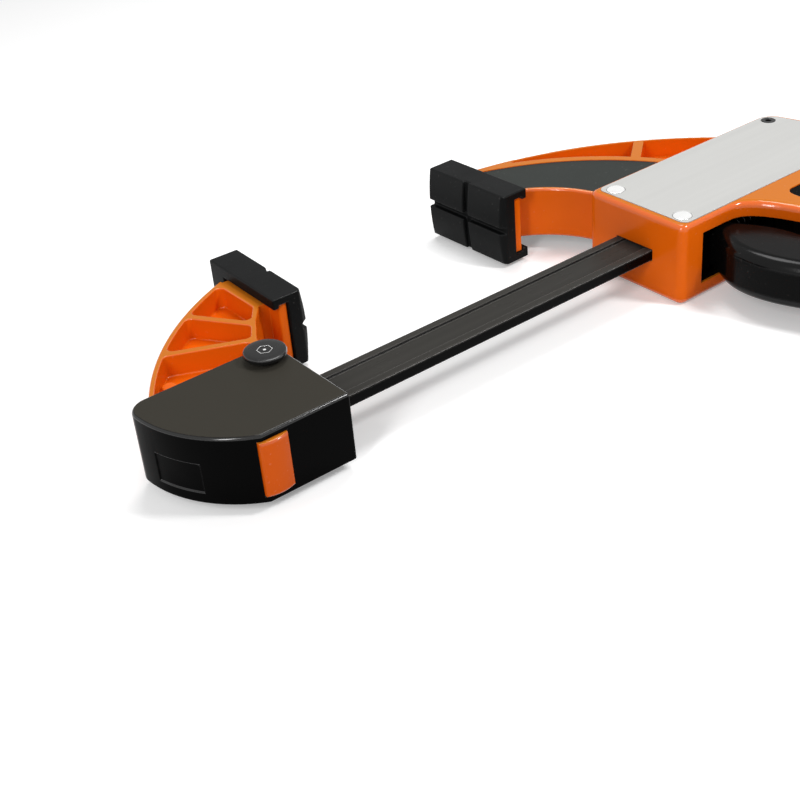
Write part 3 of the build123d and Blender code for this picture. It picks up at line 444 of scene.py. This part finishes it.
plasticOrange = {
    # painted light: paintedLevelLight is the colour painted on the level outer faces, where light falls
    "deep": (0.64, 0.096, 0.002), "light": (0.79, 0.138, 0.004),
    "edge": (0.80, 0.27, 0.04), "paintedLevelLight": (0.54, 0.150, 0.009),
    "gloss": (0.16, 0.25), "shine": 0.07, "edgeShine": 1.0,
    "patchScale": 16.0, "edgeTintRadius": 0.0006, "edgeTint": 0.45, "dust": 0.04,
    "grainScale": 1500.0, "waveScale": 55.0, "waveShare": 0.55, "bump": 0.05, "bumpHeight": 0.0004,
}
bodyOrange = {
    # painted shade: the body's chambers are painted near black, standing in for the shade inside them
    **plasticOrange, "paintedShade": (0.006, 0.004, 0.003),
    "chambers": (
        # centre and half size in metres
        ((-0.0025, -0.00165, 0.0183), (0.0456, 0.0238, 0.0116)),
        ((-0.001, -0.046, 0.0183), (0.025, 0.0206, 0.0116)),
    ),
}
shadedButtonOrange = {
    # painted shade: the jaws' orange, painted a shade deeper as shade on the button
    **plasticOrange, "deep": (0.46, 0.062, 0.0015), "light": (0.57, 0.088, 0.003),
}
plasticBlack = {
    "deep": (0.0012, 0.0012, 0.0012), "light": (0.0025, 0.0025, 0.0025), "edge": (0.02, 0.02, 0.02),
    "gloss": (0.14, 0.24), "shine": 0.05, "edgeShine": 0.25,
    "patchScale": 18.0, "edgeTintRadius": 0.0005, "edgeTint": 0.4, "dust": 0.02,
    "grainScale": 1300.0, "waveScale": 70.0, "waveShare": 0.5, "bump": 0.05, "bumpHeight": 0.0004,
}
insertGrey = {
    "deep": (0.018, 0.021, 0.019), "light": (0.026, 0.030, 0.027), "edge": (0.05, 0.055, 0.055),
    "gloss": (0.50, 0.62), "shine": 0.10, "edgeShine": 0.0,
    "patchScale": 26.0, "edgeTintRadius": 0.0004, "edgeTint": 0.4, "dust": 0.04,
    "grainScale": 2200.0, "waveScale": 200.0, "waveShare": 0.2, "bump": 0.2, "bumpHeight": 0.0003,
}
gripBlack = {
    "deep": (0.0012, 0.0014, 0.0015), "light": (0.0028, 0.003, 0.0032), "edge": (0.02, 0.02, 0.02),
    "gloss": (0.45, 0.60), "shine": 0.02, "edgeShine": 0.0,
    "patchScale": 26.0, "edgeTintRadius": 0.0005, "edgeTint": 0.5, "dust": 0.04,
    "grainScale": 1900.0, "waveScale": 260.0, "waveShare": 0.3, "bump": 0.3, "bumpHeight": 0.0004,
}
padRubber = {
    "deep": (0.003, 0.0033, 0.0034), "light": (0.006, 0.0064, 0.0066), "edge": (0.018, 0.020, 0.020),
    "gloss": (0.42, 0.56), "shine": 0.05, "edgeShine": 0.15,
    "patchScale": 34.0, "edgeTintRadius": 0.0008, "edgeTint": 0.5, "dust": 0.03,
    "grainScale": 1700.0, "waveScale": 240.0, "waveShare": 0.35, "bump": 0.15, "bumpHeight": 0.0004,
}
barSteel = {
    # painted light: the wide faces are painted lighter than the near black narrow ones
    "deep": (0.018, 0.0172, 0.0155), "light": (0.062, 0.059, 0.053),
    "edge": (0.62, 0.60, 0.57), "narrow": (0.0008, 0.0008, 0.0008),
    "gloss": (0.24, 0.30), "shine": 0.03, "edgeShine": 0.0, "metallic": 0.0,
    # painted highlight: with the full, unbroken edge tint, the pale edge colour paints a highlight along
    # every edge
    "patchScale": 30.0, "edgeTintRadius": 0.0005, "edgeTint": 1.0, "even": 1.0,
    "lineScale": 420.0, "stretch": 0.02, "streakGloss": 0.05, "bump": 0.02, "bumpHeight": 0.0002,
}
plateMetal = {
    "deep": (0.458, 0.457, 0.443), "light": (0.518, 0.517, 0.503), "edge": (0.86, 0.86, 0.86),
    "gloss": (0.40, 0.48), "shine": 0.15, "edgeShine": 0.0, "metallic": 0.15,
    "patchScale": 18.0, "edgeTintRadius": 0.0003, "edgeTint": 0.8, "even": 0.5,
    "lineScale": 1100.0, "stretch": 0.02, "streakGloss": 0.06, "bump": 0.05, "bumpHeight": 0.0002,
}
brightSteel = {
    "deep": (0.86, 0.86, 0.85), "light": (0.96, 0.96, 0.95), "edge": (0.97, 0.97, 0.97),
    "gloss": (0.12, 0.2), "shine": 0.5, "edgeShine": 0.0, "metallic": 0.9,
    "patchScale": 60.0, "edgeTintRadius": 0.0002, "edgeTint": 0.3, "even": 0.2,
    "lineScale": 1500.0, "stretch": 0.3, "streakGloss": 0.05, "bump": 0.03, "bumpHeight": 0.0001,
}
blackSteel = {
    "deep": (0.006, 0.006, 0.006), "light": (0.011, 0.011, 0.011), "edge": (0.12, 0.12, 0.12),
    "gloss": (0.22, 0.32), "shine": 0.15, "edgeShine": 1.0, "metallic": 0.0,
    "patchScale": 70.0, "edgeTintRadius": 0.0003, "edgeTint": 0.7, "even": 0.2,
    "lineScale": 1200.0, "stretch": 0.5, "streakGloss": 0.06, "bump": 0.06, "bumpHeight": 0.0001,
}
coverBlack = {
    # satin roof over glossy walls; the roof is painted lighter and the walls near black, as painted light
    # and painted shade
    "roof": (0.037, 0.034, 0.0275), "wall": (0.0008, 0.0008, 0.0008), "edge": (0.04, 0.04, 0.04),
    "roofGloss": 0.50, "wallGloss": 0.10, "shine": 0.02, "edgeShine": 1.0,
    "patchScale": 30.0, "edgeTintRadius": 0.0005, "edgeTint": 0.5,
    "grainScale": 2600.0, "waveScale": 60.0, "waveShare": 0.3, "bump": 0.10, "bumpHeight": 0.0003,
}


def coverPlastic(name, s):
    # one moulding, textured on its roof and polished on its walls; its colour is painted lighter on the
    # roof and near black on the walls, as painted light and painted shade
    material, tree, shader, place = startMaterial(name)
    low, high = surfaces["coverPatches"]
    smudge = useGroup(tree, smudgeGroup, Patch_Scale=s["patchScale"], Low=low, High=high)
    edgeTint = useGroup(tree, edgeWearAndHighlightGroup, Radius=s["edgeTintRadius"], Amount=s["edgeTint"])
    grain = useGroup(tree, grainGroup, Grain_Scale=s["grainScale"], Wave_Scale=s["waveScale"],
                     Wave_Share=s["waveShare"])
    for node in (smudge, edgeTint, grain):
        tree.links.new(place, node.inputs["Vector"])
    facing = tree.nodes.new("ShaderNodeSeparateXYZ")
    tree.links.new(tree.nodes.new("ShaderNodeNewGeometry").outputs["True Normal"], facing.inputs[0])
    wallEnds, roofStarts = surfaces["roofFacing"]
    flat = addNode(tree, "MapRange", From_Min=wallEnds, From_Max=roofStarts)
    tree.links.new(facing.outputs["Z"], flat.inputs["Value"])
    # painted light: the colour turns from the near black walls to the lighter roof by how upright the
    # face is
    body = mixColour(tree, flat.outputs[0], s["wall"], s["roof"])
    edgeTinted = mixColour(tree, edgeTint.outputs["Mask"], body, s["edge"])
    tree.links.new(edgeTinted, shader.inputs["Base Color"])
    rough = addNode(tree, "MapRange", To_Min=s["wallGloss"], To_Max=s["roofGloss"])
    tree.links.new(flat.outputs[0], rough.inputs["Value"])
    uneven = mathNode(tree, "ADD", rough.outputs[0], smudge.outputs["Value"])
    tree.links.new(uneven, shader.inputs["Roughness"])
    shader.inputs["Specular IOR Level"].default_value = s["shine"]
    addEdgeShine(tree, shader, s["edgeShine"])
    addBump(tree, shader, grain.outputs["Height"], s["bump"], s["bumpHeight"], edgeTint.outputs["Normal"])
    return material


orangeMaterial = mouldedPlastic("orangePlastic", plasticOrange)
bodyMaterial = mouldedPlastic("bodyPlastic", bodyOrange)
buttonMaterial = mouldedPlastic("buttonPlastic", shadedButtonOrange)
blackMaterial = mouldedPlastic("blackPlastic", plasticBlack)
coverMaterial = coverPlastic("coverBlack", coverBlack)
insertMaterial = mouldedPlastic("insertGrey", insertGrey)
gripMaterial = mouldedPlastic("gripBlack", gripBlack)
padMaterial = mouldedPlastic("padRubber", padRubber)
barMaterial = drawnMetal("barSteel", barSteel)
plateMaterial = drawnMetal("plateMetal", plateMetal)
brightMaterial = drawnMetal("brightSteel", brightSteel)
darkMaterial = drawnMetal("blackSteel", blackSteel)
print("materials made")


# pieces
bodies = frame["record"]["behaviour"]["bodies"]
bodyOf = {node: body for body, nodes in bodies.items() for node in nodes}
meshCare = {
    # millimetres: points closer than these are joined, cuts and comparisons take these as touching
    "join": 0.002, "joinAfter": 0.001, "joinTurned": 1e-4, "cut": 1e-5, "same": 1e-3,
    # degrees: flatter than this is one face, sharper than these is softened or shaded as an edge
    "flat": 0.6, "soften": 35, "smooth": 32,
}


def mergedCopy(node):
    # a node's mesh with its loose triangles joined, ready to be worked on
    bm = bmesh.new()
    bm.from_mesh(frame["nodes"][node].data)
    bmesh.ops.remove_doubles(bm, verts=bm.verts, dist=meshCare["join"] * mm)
    flat = math.radians(meshCare["flat"])
    bmesh.ops.dissolve_limit(bm, angle_limit=flat, verts=bm.verts, edges=bm.edges)
    return bm


def finishPiece(name, bm, material, node):
    bmesh.ops.recalc_face_normals(bm, faces=bm.faces)
    if bm.calc_volume(signed=True) < 0:
        bmesh.ops.reverse_faces(bm, faces=bm.faces)
    mesh = bpy.data.meshes.new(name)
    bm.to_mesh(mesh)
    bm.free()
    mesh.shade_smooth()
    mesh.set_sharp_from_angle(angle=math.radians(meshCare["smooth"]))
    mesh.materials.append(material)
    piece = bpy.data.objects.new(name, mesh)
    bpy.context.scene.collection.objects.link(piece)
    flats = piece.modifiers.new("flats", "WEIGHTED_NORMAL")
    flats.keep_sharp = True
    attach(piece, bodyOf[node])
    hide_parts(node)
    return piece


def sharpEdges(bm, angle):
    limit = math.radians(angle)
    return [e for e in bm.edges if e.is_manifold and e.calc_face_angle(0) > limit]


def softenEdges(bm, edges, width, segments):
    bmesh.ops.bevel(bm, geom=edges, offset=width, offset_type="OFFSET", segments=segments,
                    profile=0.5, affect="EDGES", clamp_overlap=False, material=-1)


def softCopy(name, node, material, width, segments):
    bm = mergedCopy(node)
    softenEdges(bm, sharpEdges(bm, meshCare["soften"]), width * mm, segments)
    bmesh.ops.remove_doubles(bm, verts=bm.verts, dist=meshCare["joinAfter"] * mm)
    finishPiece(name, bm, material, node)


softened = {
    # piece: node, material, slot, edge width in mm, segments
    "ribbedJaw": ("fixed_jaw", orangeMaterial, "orange_plastic", 0.6, 3),
    "clampBar": ("bar", barMaterial, "bar_steel", 0.3, 2),
    "headCover": ("head_cover", coverMaterial, "black_plastic", 0.3, 2),
    "upperPlate": ("side_plate_upper", plateMaterial, "plate_metal", 0.25, 2),
    "lowerPlate": ("side_plate_lower", plateMaterial, "plate_metal", 0.25, 2),
    "screwSet": ("plate_screws", darkMaterial, "black_steel", 0.15, 2),
    "pinNut": ("jaw_pin_nut", brightMaterial, "bright_steel", 0.4, 2),
}
for name, (node, material, slot, width, segments) in softened.items():
    softCopy(name, node, material, width, segments)
print("softened", len(softened), "pieces")


# rubber pads: a C section that slides on the jaw's plate, its face cut into four blocks
padShape = {
    # millimetres
    "length": 49.0, "height": 32.6, "depth": 14.8, "tipWall": 10.5,
    "groove": 3.0, "grooveDepth": 2.6, "crown": 1.5, "endLean": 1.8, "edge": 0.6, "edgeSteps": 3,
    "slotStart": 8.0, "slotEnd": 12.1, "slotHeight": 26.0, "neckHeight": 23.4,
    "crownCuts": (5.0, 9.0, 13.0),
    "toeIn": 1.5, "flat": 0.5, "corner": 20,  # degrees
}


def halveAt(bm, place, direction):
    bmesh.ops.bisect_plane(bm, geom=bm.verts[:] + bm.edges[:] + bm.faces[:], dist=meshCare["cut"],
                           plane_co=place, plane_no=direction)


def movedVerts(grown):
    return [v for v in grown["geom"] if isinstance(v, bmesh.types.BMVert)]


def movedFaces(grown):
    return [f for f in grown["geom"] if isinstance(f, bmesh.types.BMFace)]


def buildPad(name, node, faceMiddle, side):
    p = padShape
    half, top = p["length"] / 2, p["height"] / 2
    slot, neck, floor = p["slotHeight"] / 2, p["neckHeight"] / 2, p["grooveDepth"]
    back, gap = p["depth"], p["groove"] / 2
    upper = [(back, neck), (p["slotEnd"], neck), (p["slotEnd"], slot), (p["slotStart"], slot)]
    slotLine = upper + [(x, -z) for x, z in reversed(upper)]
    corners = [(floor, -top), (back, -top), (floor, top), (back, top)]
    bm = bmesh.new()
    verts = {(x, z): bm.verts.new((x, half, z)) for x, z in corners + slotLine}
    # at the tip: the whole section, in two faces; from the end wall on only the C section grows
    outline = [(floor, top), (back, top), *slotLine, (back, -top), (floor, -top)]
    opening = bm.faces.new([verts[xz] for xz in slotLine])
    section = bm.faces.new([verts[xz] for xz in outline])
    grown = bmesh.ops.extrude_face_region(bm, geom=[section, opening])
    bmesh.ops.translate(bm, vec=(0, -p["tipWall"], 0), verts=movedVerts(grown))
    cSection = max(movedFaces(grown), key=lambda f: len(f.verts))
    grown = bmesh.ops.extrude_face_region(bm, geom=[cSection])
    bmesh.ops.delete(bm, geom=[cSection], context="FACES")
    bmesh.ops.translate(bm, vec=(0, p["tipWall"] - p["length"], 0), verts=movedVerts(grown))
    for sign in (-1, 1):
        halveAt(bm, (0, sign * gap, 0), (0, 1, 0))
        for z in (gap, *p["crownCuts"]):
            halveAt(bm, (0, 0, sign * z), (0, 0, 1))
    middles = {f: f.calc_center_median() for f in bm.faces}
    blocks = [f for f, m in middles.items()
              if abs(m.x - floor) < meshCare["same"] and abs(m.y) > gap and abs(m.z) > gap]
    front = movedVerts(bmesh.ops.extrude_face_region(bm, geom=blocks))
    bmesh.ops.delete(bm, geom=blocks, context="FACES")
    bmesh.ops.translate(bm, vec=(-floor, 0, 0), verts=front)
    for v in front:
        v.co.x += p["crown"] * (v.co.z / top) ** 2
        if v.co.y < meshCare["same"] - half:
            v.co.y += p["endLean"]  # the blocks stop short of the root end
    bmesh.ops.recalc_face_normals(bm, faces=bm.faces)
    bmesh.ops.dissolve_limit(bm, angle_limit=math.radians(p["flat"]), verts=bm.verts, edges=bm.edges)
    softenEdges(bm, sharpEdges(bm, p["corner"]), p["edge"], p["edgeSteps"])
    lean = math.radians(p["toeIn"])
    cosine, sine = math.cos(lean), math.sin(lean)
    turn = Matrix(((side * cosine, -side * sine, 0), (sine, cosine, 0), (0, 0, side)))
    bm.transform(Matrix.Translation(faceMiddle) @ (turn * mm).to_4x4())
    finishPiece(name, bm, padMaterial, node)


toeInReach = padShape["length"] / 2 * math.sin(math.radians(padShape["toeIn"])) * mm
for name, node, side in (("jawPad", "fixed_jaw_pad", -1), ("slidingPad", "sliding_jaw_pad", 1)):
    low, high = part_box(node)
    faceX = (low if side > 0 else high).x + side * toeInReach
    buildPad(name, node, (faceX, (low.y + high.y) / 2, midHeight), side)
print("pads made")


# turned pieces: a profile of radii and heights, spun about an upright axis
def spinProfile(bm, rings, steps):
    verts = [bm.verts.new((r, 0, h)) for r, h in rings]
    edges = [bm.edges.new(pair) for pair in zip(verts, verts[1:])]
    bmesh.ops.spin(bm, geom=verts + edges, cent=(0, 0, 0), axis=(0, 0, 1), angle=2 * math.pi, steps=steps,
                   use_merge=True)
    bmesh.ops.remove_doubles(bm, verts=bm.verts, dist=meshCare["joinTurned"])
    for height in (rings[0][1], rings[-1][1]):
        rim = [e for e in bm.edges if e.is_boundary and abs(e.verts[0].co.z - height) < meshCare["same"]]
        bmesh.ops.contextual_create(bm, geom=rim)


# shoulder bolt of the head: a disc with a stepped underside and a shallow six-sided socket
pinShape = {
    # millimetres from the shaft's foot
    "shaft": ((4.0, 0.0), (4.0, 31.6), (5.2, 31.6), (5.2, 33.0)),
    "disc": ((6.9, 33.3), (7.3, 33.5), (7.95, 33.6), (8.1, 33.9),
             (8.1, 34.7), (7.9, 35.15), (7.4, 35.4), (5.5, 35.5)),
    "socket": 3.0, "socketLine": 0.22, "socketDepth": 0.25, "socketLean": 0.05,
    "plug": 0.15, "plugInset": 2.1, "steps": 64,
}


def buildJawPin(name, node):
    p = pinShape
    low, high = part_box(node)
    middle = Vector(((low.x + high.x) / 2, (low.y + high.y) / 2, low.z))
    lift = (high.z - low.z) / mm - p["disc"][-1][1]
    bm = bmesh.new()
    raised = [(r, h + lift if h > 0 else h) for r, h in p["shaft"] + p["disc"]]
    spinProfile(bm, raised, p["steps"])
    discs = [f for f in bm.faces if len(f.verts) == p["steps"]]
    roof = max(discs, key=lambda f: f.calc_center_median().z)
    hexagon = bmesh.ops.create_circle(bm, segments=6, radius=p["socket"])["verts"]
    bmesh.ops.translate(bm, vec=(0, 0, roof.calc_center_median().z), verts=hexagon)
    hexEdges = list({e for v in hexagon for e in v.link_edges})
    outer = list(roof.edges)
    bmesh.ops.delete(bm, geom=[roof], context="FACES_ONLY")
    bmesh.ops.triangle_fill(bm, use_beauty=True, edges=outer + hexEdges, normal=(0, 0, 1))
    floor = bmesh.ops.contextual_create(bm, geom=hexEdges)["faces"]
    line = bmesh.ops.inset_region(bm, faces=floor, thickness=p["socketLine"], depth=0)["faces"]
    bmesh.ops.inset_region(bm, faces=floor, thickness=p["socketLean"], depth=-p["socketDepth"])
    bmesh.ops.inset_region(bm, faces=floor, thickness=p["plugInset"], depth=p["plug"])
    bmesh.ops.recalc_face_normals(bm, faces=bm.faces)
    for f in line + floor:
        f.material_index = 1
    bm.transform(Matrix.Translation(middle) @ Matrix.Scale(mm, 4))
    piece = finishPiece(name, bm, darkMaterial, node)
    piece.data.materials.append(brightMaterial)


buildJawPin("discPin", "jaw_pin")


# rivets: flat bright heads with a seam ring around them painted dark, as painted shade
rivetShape = {
    # millimetres; radius and depth below the head's face
    "head": ((4.08, 0.35), (4.02, 0.16), (3.80, 0.16)), "crown": ((3.72, 0.04), (3.45, 0.0)),
    "shank": 2.4, "taper": 1.7, "steps": 48,
    # painted shade: the seam faces picked here take the dark steel colour
    "seamReach": 0.02, "seamFacing": 0.9,  # faces this near the seam's depth and this level are dark
}


def buildRivets(name, node):
    p = rivetShape
    low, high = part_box(node)
    radius = (high.x - low.x) / 2
    tall = (high.z - low.z) / mm
    lower = [*reversed(p["crown"]), *reversed(p["head"]), (p["shank"], p["taper"])]
    rings = lower + [(r, tall - d) for r, d in reversed(lower)]
    seam = p["head"][-1][1]
    bm = bmesh.new()
    for y in (low.y + radius, high.y - radius):
        one = bmesh.new()
        spinProfile(one, rings, p["steps"])
        bmesh.ops.recalc_face_normals(one, faces=one.faces)
        for f in one.faces:
            height = f.calc_center_median().z
            depth = min(height, tall - height)
            if abs(depth - seam) < p["seamReach"] and abs(f.normal.z) > p["seamFacing"]:
                f.material_index = 1
        one.transform(Matrix.Translation((low.x + radius, y, low.z)) @ Matrix.Scale(mm, 4))
        part = bpy.data.meshes.new("oneRivet")
        one.to_mesh(part)
        one.free()
        bm.from_mesh(part)
        bpy.data.meshes.remove(part)
    piece = finishPiece(name, bm, brightMaterial, node)
    # painted shade: the dark steel colour on the seam ring
    piece.data.materials.append(darkMaterial)


buildRivets("rivetPair", "plate_rivets")
print("disc pin and rivets turned")


# springs: each coil is shown as a merged copy of its node
springs = {
    # piece: node, material, joint, direction, how far the near end travels in mm
    "latchSpring": ("button_spring", brightMaterial, "button_press", (0, 1, 0), 3.6),
    "driveSpring": ("drive_spring", darkMaterial, "trigger_pull", (1, 0, 0), 11.1),
    "brakeSpring": ("brake_spring", darkMaterial, "release_press", (1, 0, 0), 1.9),
}
for name, (node, material, joint, direction, travel) in springs.items():
    coil = finishPiece(name, mergedCopy(node), material, node)
    low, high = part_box(node)
    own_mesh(coil)
print("springs placed")


# the nodes that are shown as they come
nodeMaterial = {
    "body_frame": bodyMaterial, "trigger": blackMaterial, "bar_end_pin": brightMaterial,
    "head_base": coverMaterial, "head_screws": darkMaterial, "latch_plate": darkMaterial,
    "release_button": buttonMaterial, "release_lever": blackMaterial, "release_pin": brightMaterial,
    "arm_insert_upper": insertMaterial, "arm_insert_lower": insertMaterial,
    "grip_inlay_upper": gripMaterial, "grip_inlay_lower": gripMaterial,
    "trigger_pin": darkMaterial, "drive_plate": darkMaterial, "brake_plate": darkMaterial,
}
for node, material in nodeMaterial.items():
    data = frame["nodes"][node].data
    data.materials.clear()
    data.materials.append(material)
print("node materials set")


# studio
studio = {
    "floor": (0.90, 0.90, 0.90), "floorGloss": 0.9, "floorReach": 6.0, "lift": 0.24,
    "worldLight": 0.34, "worldSeen": 1.0,
    "lamps": {
        # name: place, size, power in watts, aims at
        "topSoftbox": ((0.05, 0.25, 0.80), (0.30, 0.30), 3.4, (-0.08, 0.0, 0.0)),
        "leftSoftbox": ((-0.71, -0.26, 0.42), (0.12, 0.40), 2.4, (-0.12, 0.0, 0.02)),
        "edgeSoftbox": ((0.16, -0.40, 0.58), (0.10, 0.16), 2.6, (-0.05, 0.0, 0.02)),
    },
}


def brightRays(tree):
    # 1 for rays from the camera and in reflections and glass, 0 for those that light the clamp
    path = tree.nodes.new("ShaderNodeLightPath")
    seen = mathNode(tree, "MAXIMUM", path.outputs["Is Camera Ray"], path.outputs["Is Glossy Ray"])
    return mathNode(tree, "MAXIMUM", seen, path.outputs["Is Transmission Ray"])


def addLamp(name, place, size, power, aim):
    data = bpy.data.lights.new(name, "AREA")
    data.shape = "RECTANGLE"
    data.size, data.size_y = size
    data.energy = power
    lamp = bpy.data.objects.new(name, data)
    lamp.location = place
    lamp.rotation_euler = (Vector(aim) - Vector(place)).to_track_quat("-Z", "Y").to_euler()
    bpy.context.scene.collection.objects.link(lamp)


def addFloor(s):
    bm = bmesh.new()
    bmesh.ops.create_grid(bm, x_segments=1, y_segments=1, size=s["floorReach"])
    mesh = bpy.data.meshes.new("floor")
    bm.to_mesh(mesh)
    bm.free()
    floor = bpy.data.objects.new("floor", mesh)
    bpy.context.scene.collection.objects.link(floor)
    material, tree, shader, _ = startMaterial("paleFloor")
    shader.inputs["Base Color"].default_value = (*s["floor"], 1)
    shader.inputs["Roughness"].default_value = s["floorGloss"]
    shader.inputs["Specular IOR Level"].default_value = 0.0
    lift = mathNode(tree, "MULTIPLY", brightRays(tree), s["lift"])
    shader.inputs["Emission Color"].default_value = (1, 1, 1, 1)
    tree.links.new(lift, shader.inputs["Emission Strength"])
    mesh.materials.append(material)


def addWorld(s):
    world = bpy.data.worlds.new("studio")
    world.use_nodes = True
    tree = world.node_tree
    spread = addNode(tree, "MapRange", To_Min=s["worldLight"], To_Max=s["worldSeen"])
    tree.links.new(brightRays(tree), spread.inputs["Value"])
    background = tree.nodes["Background"]
    background.inputs["Color"].default_value = (1, 1, 1, 1)
    tree.links.new(spread.outputs[0], background.inputs["Strength"])
    bpy.context.scene.world = world


for name, (place, size, power, aim) in studio["lamps"].items():
    addLamp(name, place, size, power, aim)
addFloor(studio)
addWorld(studio)
bpy.context.scene.view_settings.view_transform = "Standard"
print("studio lit")
